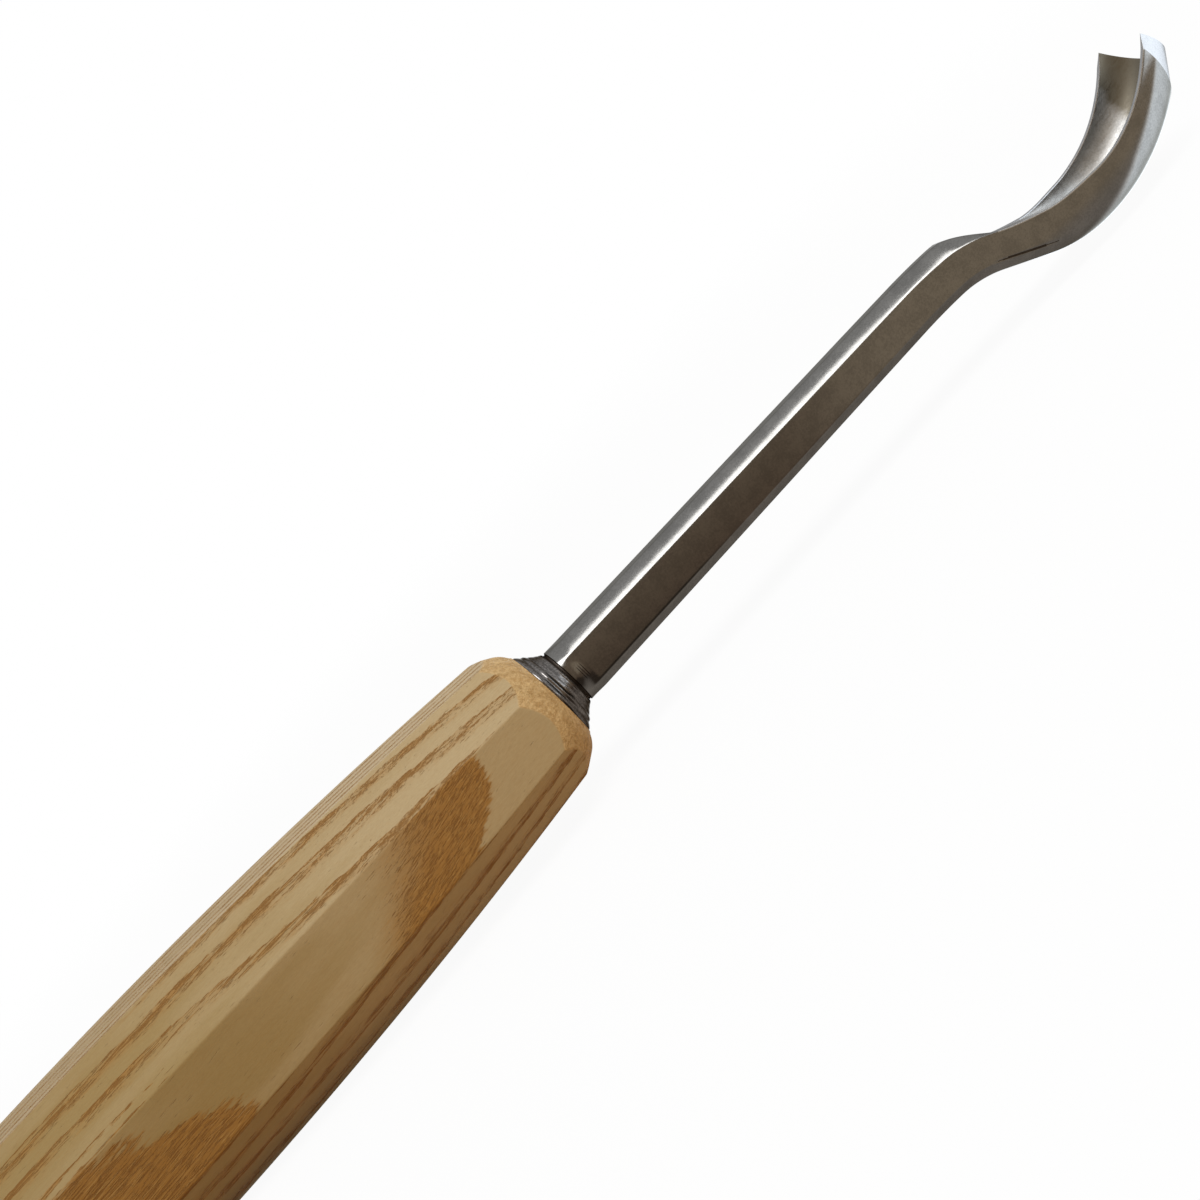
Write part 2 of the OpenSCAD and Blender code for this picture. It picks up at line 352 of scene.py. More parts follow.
    def boxed_section(self, t: np.ndarray, s: np.ndarray) -> np.ndarray:
        """Flat-sided section of the shank, with its lower arrises a little rounded.

        Args:
            t: Steps from 0 at the rim to 1 at the keel.
            s: Arc lengths, one for each step.

        Returns:
            Rows of [side, up from the keel].
        """
        w, low = self.half_width(s), self.low_chamfer
        corners = [
            np.stack([w, self.height(s) - self.chamfer(s)], -1),
            np.stack([w, np.full_like(w, low)], -1),
            np.stack([w - low, np.zeros_like(w)], -1),
            np.zeros((len(w), 2)),
        ]
        knots = (0.0, self.side_end, self.chamfer_end, 1.0)

        def sharp(u: np.ndarray) -> np.ndarray:
            """Follows the sharp outline.

            Args:
                u: Steps on it, one for each arc length.

            Returns:
                Rows of [side, up from the keel].
            """
            out = corners[0]
            for k in range(3):
                share = np.clip((u - knots[k]) / (knots[k + 1] - knots[k]), 0.0, 1.0)
                out = out + (corners[k + 1] - corners[k]) * column(share)
            return out

        points = sharp(t)
        reach = self.low_arris
        for k in (1, 2):
            u = column(np.clip((t - knots[k] + reach) / (2 * reach), 0.0, 1.0))
            before, after = (sharp(np.full_like(t, knots[k] + way)) for way in (-reach, reach))
            rounded = corner_curve(before, corners[k], after, u)
            points = np.where(np.abs(column(t) - knots[k]) < reach, rounded, points)
        return points

    def outer_section(self, t: np.ndarray, s: np.ndarray) -> np.ndarray:
        """Outside of the section: flat-sided on the shank, rolling into a half ellipse on the spoon.

        Args:
            t: Steps from 0 at the rim to 1 at the keel.
            s: Arc lengths, one for each step.

        Returns:
            Rows of [side, up from the keel].
        """
        a = np.radians(90 * t)
        rounded = np.stack([self.half_width(s) * np.cos(a), self.height(s) * (1 - np.sin(a))], -1)
        share = ease((s - self.round_start_s) / (self.round_end_s - self.round_start_s))
        section = mix(self.boxed_section(t, s), rounded, column(share))
        section[:, 0] -= self.crease(section[:, 1], s)
        return section

    def crease(self, up: np.ndarray, s: np.ndarray) -> np.ndarray:
        """Depth of the forging crease, which runs low along the side of the crank.

        Args:
            up: Height over the keel.
            s: Arc lengths, one for each height.

        Returns:
            How far the side is pushed in.
        """
        begun = ease((s - self.crease_start) / self.crease_in)
        lasting = ease((self.crease_end - s) / self.crease_out)
        return self.crease_depth * begun * lasting * np.exp(-(((up - self.crease_up) / self.crease_w) ** 2))

    def inner_section(self, t: np.ndarray, s: np.ndarray) -> np.ndarray:
        """Channel side of the section, which lies flat in the top of the shank.

        Args:
            t: Steps from 0 at the rim to 1 at the keel.
            s: Arc lengths, one for each step.

        Returns:
            Rows of [side, up from the keel].
        """
        a = np.radians(90 * t)
        depth = blend(0.0, 1.0, s, self.channel_start_s, self.channel_s) * (self.height(s) - self.keel_t)
        side = (self.half_width(s) - self.rim(s)) * np.cos(a)
        return np.stack([side, self.height(s) - depth * np.sin(a)], -1)

    def place(self, section: np.ndarray, s: np.ndarray) -> np.ndarray:
        """Stands section points up on the keel.

        Args:
            section: Rows of [side, up from the keel].
            s: Arc lengths, one for each row.

        Returns:
            Rows of [x, y, z].
        """
        x, z, angle = self.keel_at(s)
        up = section[:, 1]
        return np.stack([x - up * np.sin(angle), section[:, 0], z + up * np.cos(angle)], -1)

    def end_s(self, t: np.ndarray) -> np.ndarray:
        """Arc length at which a section step meets the cutting edge."""
        return self.spoon_s - self.edge_lead * np.sin(np.radians(90 * t))

    def heel_of_bevel(self, t: np.ndarray) -> np.ndarray:
        """Arc length at which the ground bevel starts."""
        return self.end_s(t) - mix(self.rim_bevel, self.keel_bevel, np.sin(np.radians(90 * t)))

    def half_ring(self, outer: SectionSide, inner: SectionSide) -> np.ndarray:
        """Joins the channel side and the outside over the softened corners of the rim or the chamfer.

        Args:
            outer: Outside at section steps.
            inner: Channel side at section steps.

        Returns:
            Rows of [x, y, z] from the keel inside, over the rim, to the keel outside.
        """
        probe = np.linspace(0.0, 0.6, 240)
        rim_out, rim_in = outer(probe[:1])[0], inner(probe[:1])[0]
        land = float(np.linalg.norm(rim_out - rim_in))
        reach = min(self.arris_soft, 0.3 * land)
        t_out = float(np.interp(reach, np.linalg.norm(outer(probe) - rim_out, axis=1), probe))
        t_in = float(np.interp(reach, np.linalg.norm(inner(probe) - rim_in, axis=1), probe))
        steps = np.linspace(0.0, 1.0, self.section_steps + 1)
        outside, channel = outer(mix(t_out, 1.0, steps)), inner(mix(t_in, 1.0, steps))
        shares = column(np.linspace(reach / land, 1 - reach / land, self.land_steps + 1))
        across = (rim_out - rim_in) / land
        away = (rim_in + rim_out) / 2 - outside[-1]
        away -= across * float(away @ across)
        away *= self.camber * land / np.linalg.norm(away)
        face = mix(rim_in, rim_out, shares) + 4 * shares * (1 - shares) * away
        return np.concatenate([
            channel[::-1],
            soft_corner(channel[0], rim_in, face[0], self.corner_steps),
            face,
            soft_corner(face[-1], rim_out, outside[0], self.corner_steps),
            outside,
        ])

    def half_at(self, s_of: Callable[[np.ndarray], np.ndarray]) -> np.ndarray:
        """Half ring whose section steps may each stand at another arc length.

        Args:
            s_of: Gives the arc length of each section step.

        Returns:
            Rows of [x, y, z] as half_ring gives them.
        """
        return self.half_ring(
            lambda t: self.place(self.outer_section(t, s_of(t)), s_of(t)),
            lambda t: self.place(self.inner_section(t, s_of(t)), s_of(t)),
        )

    def square_half(self, s: float) -> np.ndarray:
        """Half ring square to the keel at one arc length."""
        return self.half_at(lambda t: np.full_like(t, s))

    def square_run(self, start: float, end: float, count: int) -> list[np.ndarray]:
        """Half rings square to the keel from one arc length up to another, without the last."""
        return [self.square_half(s) for s in np.linspace(start, end, count)[:-1]]

    def spoon_half(self, share: float) -> np.ndarray:
        """Half ring in the spoon, which leans over until it lies along the bevel's heel at share = 1."""
        return self.half_at(lambda t: mix(self.heel_s, self.heel_of_bevel(t), share))

    def bevel_half(self, share: float) -> np.ndarray:
        """Half ring on the ground bevel.

        Args:
            share: 0 at the bevel's heel and 1 at the cutting edge.

        Returns:
            Rows of [x, y, z] as half_ring gives them.
        """

        def outer(t: np.ndarray) -> np.ndarray:
            """Brings the outside down onto the channel floor at the edge.

            Args:
                t: Steps from 0 at the rim to 1 at the keel.

            Returns:
                Rows of [x, y, z].
            """
            heel, end = self.heel_of_bevel(t), self.end_s(t)
            a = np.radians(90 * t)
            edge = self.inner_section(t, end) + self.edge_t * np.stack([np.cos(a), -np.sin(a)], -1)
            return mix(self.place(self.outer_section(t, heel), heel), self.place(edge, end), share)

        def inner(t: np.ndarray) -> np.ndarray:
            """Channel side under the bevel."""
            s = mix(self.heel_of_bevel(t), self.end_s(t), share)
            return self.place(self.inner_section(t, s), s)

        return self.half_ring(outer, inner)

    def neck_half(self, x: float) -> np.ndarray:
        """Half ring where the round neck turns into the flat-sided shank, x from the seat."""
        share = ease((x - self.neck_root) / (self.neck_end - self.neck_root))
        return mix(self.round_half(x, self.neck_r), self.square_half(x - self.shank_l), share)

    def round_half(self, x: float, radius: float) -> np.ndarray:
        """Half circle round the axis with the shank's section angles.

        Args:
            x: Distance from the seat.
            radius: Its radius.

        Returns:
            Rows of [x, y, z] as half_ring gives them.
        """
        pattern = self.square_half(self.neck_end - self.shank_l)
        a = np.arctan2(pattern[:, 2], pattern[:, 1])
        return np.stack([np.full_like(a, self.seat_x + x), radius * np.cos(a), radius * np.sin(a)], -1)

    def tang_half(self, x: float, side: float) -> np.ndarray:
        """Half of the square tang.

        Args:
            x: Distance from the seat.
            side: Side of the square.

        Returns:
            Rows of [x, y, z] as half_ring gives them.
        """
        unit = self.round_half(x, 1.0)
        unit[:, 1:] *= column(side / 2 / np.maximum(np.abs(unit[:, 1]), np.abs(unit[:, 2])))
        return unit

    def bolster_profile(self) -> list[tuple[float, float]]:
        """Turned outline of the bolster and the groove before the neck.

        Returns:
            Pairs of x from the seat and radius.
        """
        r, groove_r = self.shoulder_r, self.neck_r - self.groove_depth
        cone_x, cone_r = self.bolster_l - self.groove_l, self.neck_r + self.cone_lip
        outline = [(0.0, self.bolster_r - 0.03), (self.bolster_base, self.bolster_r)]
        for k in range(self.shoulder_steps + 1):
            a = math.radians(mix(self.shoulder_from_deg, self.shoulder_to_deg, k / self.shoulder_steps))
            outline.append((self.bolster_base + r * math.sin(a), self.bolster_r - r + r * math.cos(a)))
        start_x, start_r = outline[-1]
        for k in range(1, self.cone_steps + 1):
            share = k / self.cone_steps
            x = mix(start_x, cone_x, share)
            hollow = self.cone_hollow * math.sin(math.pi * share)
            outline.append((x, mix(start_r, cone_r, share) - hollow - self.turning_mark(x)))
        return [
            *outline,
            (cone_x + 0.05, cone_r - 0.08),
            (cone_x + 0.1, groove_r + 0.05),
            (cone_x + 0.2, groove_r),
            (self.neck_root - 0.1, groove_r),
            (self.neck_root - 0.03, groove_r + 0.04),
            (self.neck_root, groove_r + 0.15),
        ]

    def turning_mark(self, x: float) -> float:
        """Depth of the fine rings that the turning tool left on the bolster, x from the seat."""
        return sum(deep * math.exp(-(((x - at) / width) ** 2)) for at, width, deep in self.turned_rings)

    def halves(self) -> tuple[list[np.ndarray], list[int]]:
        """Half rings from the tang's tip to the cutting edge.

        Returns:
            The half rings, and the numbers of those where the neck, the waist and the bevel start.
        """
        tang_mid = (self.tang_root + self.tang_tip) / 2
        tang = ((-self.tang_l, self.tang_tip), (-self.tang_l / 2, tang_mid), (0.0, self.tang_root))
        rows = [self.tang_half(x, side) for x, side in tang]
        rows += [self.round_half(x, r) for x, r in self.bolster_profile()]
        first_neck = len(rows)
        neck = np.linspace(self.neck_root + 0.03, self.neck_end, self.neck_rings)
        rows += [self.neck_half(x) for x in neck]
        rows += self.square_run(self.neck_end - self.shank_l, 0.0, self.shank_rings)[1:]
        rows += self.square_run(0.0, self.brow_s, self.sweep_rings)
        rows += self.square_run(self.brow_s, self.waist_s, self.brow_rings)
        waist = len(rows)
        rows += self.square_run(self.waist_s, self.ramp_s, self.ramp_rings)
        rows += self.square_run(self.ramp_s, self.heel_s, self.heel_rings)
        rows += [self.spoon_half(share) for share in np.linspace(0.0, 1.0, self.spoon_rings)]
        heel = len(rows) - 1
        rows += [self.bevel_half(share) for share in np.linspace(0.0, 1.0, self.bevel_rings)[1:]]
        return rows, [first_neck, waist, heel]

    def build(self) -> bpy.types.Object:
        """Builds the forging as one closed mesh.

        Returns:
            The object, with a material number on every face.
        """
        rows, marks = self.halves()
        left = np.stack(rows)
        right = left[:, -2:0:-1] * np.array([1.0, -1.0, 1.0])
        rings = np.concatenate([left, right], axis=1)
        n, half = rings.shape[1], left.shape[1]
        pairs = self.section_steps
        corner = list(range(pairs, half - pairs))
        left_end = [[k, k + 1, half - 2 - k, half - 1 - k] for k in range(pairs)] + [corner]
        right_end = [[(n - k) % n for k in reversed(face)] for face in left_end]
        end = [[n - 1 - k for k in face] for face in left_end + right_end]
        made = skin_mesh("gouge_blade", rings[:, ::-1], end, self.sharp_deg)
        self.mark_zones(made.data, n, marks)
        return made

    def side_points(self, n: int, middle: int) -> np.ndarray:
        """Marks the points of one side of the section, left and right of its middle.

        Args:
            n: Points in a ring.
            middle: 0 for the channel side, and half of n for the outside.

        Returns:
            One True or False for each point of a ring.
        """
        on_side = np.zeros(n, bool)
        steps = np.arange(middle - self.section_steps, middle + self.section_steps + 1)
        on_side[(n - 1 - steps) % n] = True
        return on_side

    def in_crease_shade(self, centres: np.ndarray) -> np.ndarray:
        """Says which faces get the painted shade along the crease.

        Args:
            centres: Rows of [x, y, z] in millimetres, one for each face.

        Returns:
            One True or False for each face.
        """
        margin, off_keel = 1.0, 1.5
        s = np.linspace(self.crease_start + margin, self.crease_end - margin, 90)
        line = self.place(np.column_stack([np.zeros_like(s), np.full_like(s, self.crease_up)]), s)
        run = (s - s[0]) / (s[-1] - s[0])
        reach = self.crease_shade * self.crease_w * np.sin(np.pi * run) ** 0.7
        x, y, z = centres.T
        near = (x > line[0, 0] - margin) & (x < line[-1, 0] + margin) & (np.abs(y) > off_keel)
        found = np.zeros(len(centres), bool)
        apart = np.hypot(x[near, None] - line[:, 0], z[near, None] - line[:, 2])
        found[near] = np.any(apart < reach, axis=1)
        return found

    def mark_zones(self, mesh: bpy.types.Mesh, n: int, marks: list[int]) -> None:
        """Gives each face its finish and keeps the bevel's heel crisp.

        Args:
            mesh: The blade's mesh.
            n: Points in a ring.
            marks: Numbers of the rings where the neck, the waist and the bevel start.
        """
        first_neck, waist, heel = marks
        outside, channel = self.side_points(n, n // 2), self.side_points(n, 0)
        faces = [list(p.vertices) for p in mesh.polygons]
        ring = np.array([min(face) // n for face in faces])
        centres = np.array([p.center for p in mesh.polygons]) / MM
        on_outside, in_channel = (
            np.array([all(side[v % n] for v in face) for face in faces]) for side in (outside, channel)
        )
        # Painted shade on the faces in the groove and along the crease
        in_groove_shade = np.abs(centres[:, 0] - self.seat_x - self.groove_x) < self.groove_shade
        zone = np.full(len(ring), SteelZone.FORGED.value)
        marked = (
            (ring < first_neck, SteelZone.TURNED),
            ((ring >= heel) & on_outside, SteelZone.GROUND),
            ((ring >= waist) & ~on_outside, SteelZone.GROUND),
            ((ring >= waist) & in_channel, SteelZone.CHANNEL),
            (self.in_crease_shade(centres) | in_groove_shade, SteelZone.CREASE),
        )
        for found, finish in marked:
            zone[found] = finish.value
        mesh.polygons.foreach_set("material_index", zone.astype(np.int32))
        edges = np.array([list(e.vertices) for e in mesh.edges])
        on_heel = np.all((edges // n == heel) & outside[edges % n], axis=1)
        sharp = mesh.attributes.get("sharp_edge") or mesh.attributes.new("sharp_edge", "BOOLEAN", "EDGE")
        flags = np.zeros(len(mesh.edges), bool)
        sharp.data.foreach_get("value", flags)
        sharp.data.foreach_set("value", flags | on_heel)
        mesh.update()


@dataclass
class Handle:
    """Octagonal ash handle with a turned front, in millimetres along +X from the butt face."""

    length: float = 131.7
    across_flats: float = 26.78
    belly_x: float = 51.0
    swell_r: float = 800.0
    arris_r: float = 0.45
    nose_l: float = 7.0
    nose_face_r: float = 7.05
    nose_round_r: float = 4.2
    nose_deg: float = 31.5
    nose_start_deg: float = 63.5
    lip: float = 0.2
    lip_l: float = 0.3
    turned_edge: float = 0.16
    butt_face_r: float = 7.5
    butt_l: float = 5.5
    ferrule_r: float = 6.2
    ferrule_bore_r: float = 5.2
    ferrule_l: float = 11.0
    tang_l: float = 64.0
    tang_root: float = 6.6
    tang_tip: float = 2.4
    # Open pores on the turned front, laid out on a cylinder and stretched along the grain
    pore_depth: float = 0.11
    pore_size: float = 0.42
    pore_cylinder_r: float = 9.0
    pore_along: float = 0.25
    pore_from_cut: float = 0.25
    pore_run_out: float = 0.6
    flat_steps: int = 34
    arris_steps: int = 5
    butt_rings: int = 22
    body_rings: int = 90
    nose_rings: int = 64
    lip_rings: int = 6
    sharp_deg: float = 35.0

    def flat_distance(self, x: float) -> float:
        """Distance from the axis to the flats, which follow one long arc lengthwise."""
        return self.across_flats / 2 - self.swell_r + math.sqrt(self.swell_r**2 - (x - self.belly_x) ** 2)

    def octagon(self, flat: float) -> np.ndarray:
        """Section of the handle with softly rounded arrises.

        Args:
            flat: Distance from the axis to a flat.

        Returns:
            Rows of [y, z], up the left flat from its lower end and on round the section.
        """
        reach = self.arris_r * math.tan(math.radians(22.5))
        half_side = flat * math.tan(math.radians(22.5)) - reach
        points = []
        for k in range(8):
            turn = math.radians(45 * k)
            c, s = math.cos(turn), math.sin(turn)
            for v in np.linspace(-half_side, half_side, self.flat_steps + 1):
                points.append((flat * c - v * s, flat * s + v * c))
            for j in range(1, self.arris_steps):
                a = math.radians(45 * j / self.arris_steps)
                u = flat - self.arris_r + self.arris_r * math.cos(a)
                v = half_side + self.arris_r * math.sin(a)
                points.append((u * c - v * s, u * s + v * c))
        return np.array(points)

    def turned_radius(self, x: float) -> float:
        """Radius of the turned blank that rounds the butt and the front.

        Args:
            x: Station.

        Returns:
            The radius, from the lip back over the rounding and the long chamfer, or at the butt.
        """
        r, start, slope = self.nose_round_r, math.radians(self.nose_start_deg), math.radians(self.nose_deg)
        lip_r, lip_x = self.nose_face_r + self.lip, self.length - self.lip
        centre_r, centre_x = lip_r - r * math.cos(start), lip_x - r * math.sin(start)
        chamfer_r, chamfer_x = centre_r + r * math.cos(slope), centre_x + r * math.sin(slope)
        if x > lip_x:
            return mix(lip_r, self.nose_face_r, (x - lip_x) / (self.length - lip_x))
        if x > chamfer_x:
            return centre_r + math.sqrt(max(0.0, r**2 - (x - centre_x) ** 2))
        front = chamfer_r + (chamfer_x - x) * math.tan(slope)
        if x >= self.butt_l:
            return front
        butt = self.butt_face_r + math.sqrt(max(0.0, self.butt_l**2 - (self.butt_l - x) ** 2))
        return min(front, butt)

    def stations(self) -> np.ndarray:
        """Places along the handle, close together at the butt and the front.

        Returns:
            Their x in rising order.
        """
        nose_x, lip_x = self.length - self.nose_l, self.length - self.lip_l
        butt = self.butt_l * (1 - np.cos(np.linspace(0.0, math.pi / 2, self.butt_rings)))
        body = np.linspace(self.butt_l, nose_x, self.body_rings)[1:]
        nose = np.linspace(nose_x, lip_x, self.nose_rings)[1:]
        lip = np.linspace(lip_x, self.length, self.lip_rings)[1:]
        return np.concatenate([butt, body, nose, lip])

    def outside(self) -> list[np.ndarray]:
        """Shapes the outside from the butt face to the front face.

        Returns:
            One ring of [x, y, z] rows for each station.
        """
        rings = []
        for x in self.stations():
            section = self.octagon(self.flat_distance(float(x)))
            radius = np.linalg.norm(section, axis=1)
            limit = self.turned_radius(float(x))
            kept = smooth_min(radius, np.full_like(radius, limit), self.turned_edge)
            cut = np.clip((radius - kept) / self.pore_from_cut, 0.0, 1.0)
            if x > self.length / 2:
                kept -= self.pores(float(x), section, cut, radius)
            scaled = section * column(kept / radius)
            rings.append(np.column_stack([np.full(len(section), x), scaled]))
        return rings

    def pores(self, x: float, section: np.ndarray, cut: np.ndarray, radius: np.ndarray) -> np.ndarray:
        """Depth of the open pores where the front cuts across the grain.

        Args:
            x: Station.
            section: Rows of [y, z] of the flats' outline.
            cut: How far each point lies on the turned front, 0 to 1.
            radius: Distance of each outline point from the axis.

        Returns:
            Depth to take off at each point.
        """
        depth = np.zeros(len(section))
        for k in np.nonzero(cut > 0.01)[0]:
            y, z = section[k] / radius[k] * self.pore_cylinder_r
            spot = Vector((self.pore_along * x, y, z)) / self.pore_size
            grain = noise.noise(spot) + 0.5 * noise.noise(spot * 2.3)
            depth[k] = self.pore_depth * cut[k] * max(0.0, grain + 0.05)
        return depth * min(1.0, (self.length - x) / self.pore_run_out)

    def socket(self, pattern: np.ndarray) -> list[np.ndarray]:
        """Rings of the front face, the groove of the inner ferrule and the square hole of the tang.

        Args:
            pattern: Unit rows of [y, z], one for each point of a ring.

        Returns:
            The rings, from the front face inward to the hole's bottom.
        """
        square = pattern * column(0.5 / np.max(np.abs(pattern), axis=1))
        end, groove = self.length, self.length - self.ferrule_l
        cuts = (
            (end, pattern * self.ferrule_r),
            (groove, pattern * self.ferrule_r),
            (groove, pattern * self.ferrule_bore_r),
            (end, pattern * self.ferrule_bore_r),
            (end, square * self.tang_root),
            (end - self.tang_l, square * self.tang_tip),
        )
        return [np.column_stack([np.full(len(pattern), x), section]) for x, section in cuts]

    def build(self) -> bpy.types.Object:
        """Builds the handle as one closed mesh.

        Returns:
            The object.
        """
        outside = self.outside()
        last = outside[-1][:, 1:]
        pattern = last / column(np.linalg.norm(last, axis=1))
        rings = np.stack(outside + self.socket(pattern))
        return skin_mesh("ash_handle", rings, [list(range(rings.shape[1]))], self.sharp_deg)


class Field:
    """A number that varies over a surface. Its arithmetic adds Math nodes."""

    def __init__(self, bench: "NodeBench", socket: bpy.types.NodeSocket) -> None:
        """Keeps the bench and the socket that carries the number."""
        self.bench = bench
        self.socket = socket

    def __add__(self, other: "Field | float") -> "Field":
        """Sum."""
        return self.bench.math("ADD", self, other)

    def __sub__(self, other: "Field | float") -> "Field":
        """Difference."""
        return self.bench.math("SUBTRACT", self, other)

    def __rsub__(self, other: float) -> "Field":
        """Difference from a plain number."""
        return self.bench.math("SUBTRACT", other, self)

    def __mul__(self, other: "Field | float") -> "Field":
        """Product."""
        return self.bench.math("MULTIPLY", self, other)

    def __truediv__(self, other: float) -> "Field":
        """Quotient."""
        return self.bench.math("DIVIDE", self, other)

    def __abs__(self) -> "Field":
        """Size without the sign."""
        return self.bench.math("ABSOLUTE", self)

    def at_least(self, other: "Field | float") -> "Field":
        """Greater of the two."""
        return self.bench.math("MAXIMUM", self, other)

    def at_most(self, other: "Field | float") -> "Field":
        """Lesser of the two."""
        return self.bench.math("MINIMUM", self, other)

    def fraction(self) -> "Field":
        """Part after the whole number."""
        return self.bench.math("FRACT", self)

    def ramp(
        self, low: "Field | float", high: "Field | float", out_low: float = 0.0, out_high: float = 1.0
    ) -> "Field":
        """Smooth step.

        Args:
            low: Where the step starts.
            high: Where it is complete.
            out_low: Result up to the start.
            out_high: Result from the end on.

        Returns:
            The stepped number.
        """
        smooth = {"interpolation_type": "SMOOTHSTEP"}
        made = self.bench.add("MapRange", smooth, in0=self, in1=low, in2=high, in3=out_low, in4=out_high)
        return Field(self.bench, made.outputs[0])


class NodeBench:
    """Short way to add shader nodes to one material or world and join them."""

    def __init__(self, tree: bpy.types.NodeTree) -> None:
        """Keeps the node tree and empties it."""
        self.tree = tree
        tree.nodes.clear()

    @classmethod
    def new_material(cls, name: str) -> "tuple[bpy.types.Material, NodeBench]":
        """Starts a material.

        Args:
            name: Name of the material.

        Returns:
            The material and the bench for its nodes.
        """
        made = bpy.data.materials.new(name)
        made.use_nodes = True
        return made, cls(made.node_tree)

    def add(self, kind: str, settings: dict[str, str] | None = None, **inputs: object) -> bpy.types.Node:
        """Adds a node.

        Args:
            kind: Blender's type name without the ShaderNode prefix.
            settings: Properties of the node.
            **inputs: Values or sockets for inputs, named with _ for a space, or in0, in1 by number.

        Returns:
            The node.
        """
        node = self.tree.nodes.new("ShaderNode" + kind)
        for key, value in (settings or {}).items():
            setattr(node, key, value)
        for key, value in inputs.items():
            numbered = key[:2] == "in" and key[2:].isdigit()
            socket = node.inputs[int(key[2:]) if numbered else key.replace("_", " ")]
            given = value.socket if isinstance(value, Field) else value
            if isinstance(given, bpy.types.NodeSocket):
                self.tree.links.new(given, socket)
            else:
                socket.default_value = given
        return node

    def math(self, operation: str, a: "Field | float", b: "Field | float" = 0.0) -> Field:
        """Result of one Math node."""
        return Field(self, self.add("Math", {"operation": operation}, in0=a, in1=b).outputs[0])

    def mix(self, share: Field, a: "Field | float", b: "Field | float") -> Field:
        """Mix of two numbers."""
        return Field(self, self.add("Mix", in0=share, in2=a, in3=b).outputs[0])

    def blend_colour(self, share: Field, a: object, b: object) -> bpy.types.NodeSocket:
        """Mixes two colours.

        Args:
            share: Share of b.
            a: A socket, or red, green and blue of 0 to 255.
            b: The same for the second colour.

        Returns:
            The mixed colour.
        """
        first, second = (colour(*c) if isinstance(c, tuple) else c for c in (a, b))
        return self.add("Mix", {"data_type": "RGBA"}, in0=share, in6=first, in7=second).outputs[2]

    def blend_shader(self, share: Field, a: bpy.types.Node, b: bpy.types.Node) -> bpy.types.Node:
        """Mix of two shaders."""
        return self.add("MixShader", in0=share, in1=a.outputs[0], in2=b.outputs[0])

    def place(self) -> bpy.types.NodeSocket:
        """Place in the row frame, in metres."""
        return self.add("TexCoord").outputs["Object"]

    def place_mm(self) -> bpy.types.NodeSocket:
        """Place in the row frame, in millimetres."""
        return self.stretched(self.place(), (1 / MM, 1 / MM, 1 / MM))

    def stretched(self, point: bpy.types.NodeSocket, scale: Triple) -> bpy.types.NodeSocket:
        """Point with each axis scaled."""
        return self.add("VectorMath", {"operation": "MULTIPLY"}, in0=point, in1=scale).outputs[0]

    def parts(self, vector: bpy.types.NodeSocket) -> list[Field]:
        """The three numbers of a vector."""
        return [Field(self, part) for part in self.add("SeparateXYZ", in0=vector).outputs]

    def facing(self, axis: int) -> Field:
        """How squarely the surface faces along an axis, 0 to 1."""
        return abs(self.parts(self.add("NewGeometry").outputs["Normal"])[axis])

    def grain(
        self,
        point: bpy.types.NodeSocket,
        scale: "Triple | float",
        detail: float = 2.0,
        roughness: float = 0.5,
    ) -> Field:
        """Cloudy noise.

        Args:
            point: Place in millimetres.
            scale: Clouds to a millimetre, for all axes or for each.
            detail: Number of finer layers.
            roughness: Strength of the finer layers.

        Returns:
            The noise, near 0.5.
        """
        if isinstance(scale, tuple):
            point, scale = self.stretched(point, scale), 1.0
        made = self.add("TexNoise", Vector=point, Scale=scale, Detail=detail, Roughness=roughness)
        return Field(self, made.outputs[0])

    def curve(self, value: Field, pairs: tuple[tuple[float, float], ...]) -> Field:
        """Smooth curve through pairs of value and result, with results between -1 and 1.

        Args:
            value: Where on the curve.
            pairs: Values in rising order, each with its result.

        Returns:
            The result.
        """
        low, high = pairs[0][0], pairs[-1][0]
        share = self.add("MapRange", in0=value, in1=low, in2=high).outputs[0]
        node = self.add("FloatCurve", in1=share)
        line = node.mapping.curves[0]
        for k, (at, result) in enumerate(pairs):
            spot = ((at - low) / (high - low), 0.5 + result / 2)
            if k in (0, len(pairs) - 1):
                line.points[min(k, 1)].location = spot
            else:
                line.points.new(*spot)
        node.mapping.update()
        return Field(self, node.outputs[0]) * 2.0 - 1.0


def colour(red: float, green: float, blue: float) -> tuple[float, float, float, float]:
    """Turns a colour as it looks on a screen into Blender's linear one.

    Args:
        red: 0 to 255.
        green: 0 to 255.
        blue: 0 to 255.

    Returns:
        Linear red, green, blue and 1.
    """

    def linear(v: float) -> float:
        """One channel."""
        c = v / 255.0
        return c / 12.92 if c <= 0.04045 else ((c + 0.055) / 1.055) ** 2.4

    return linear(red), linear(green), linear(blue), 1.0


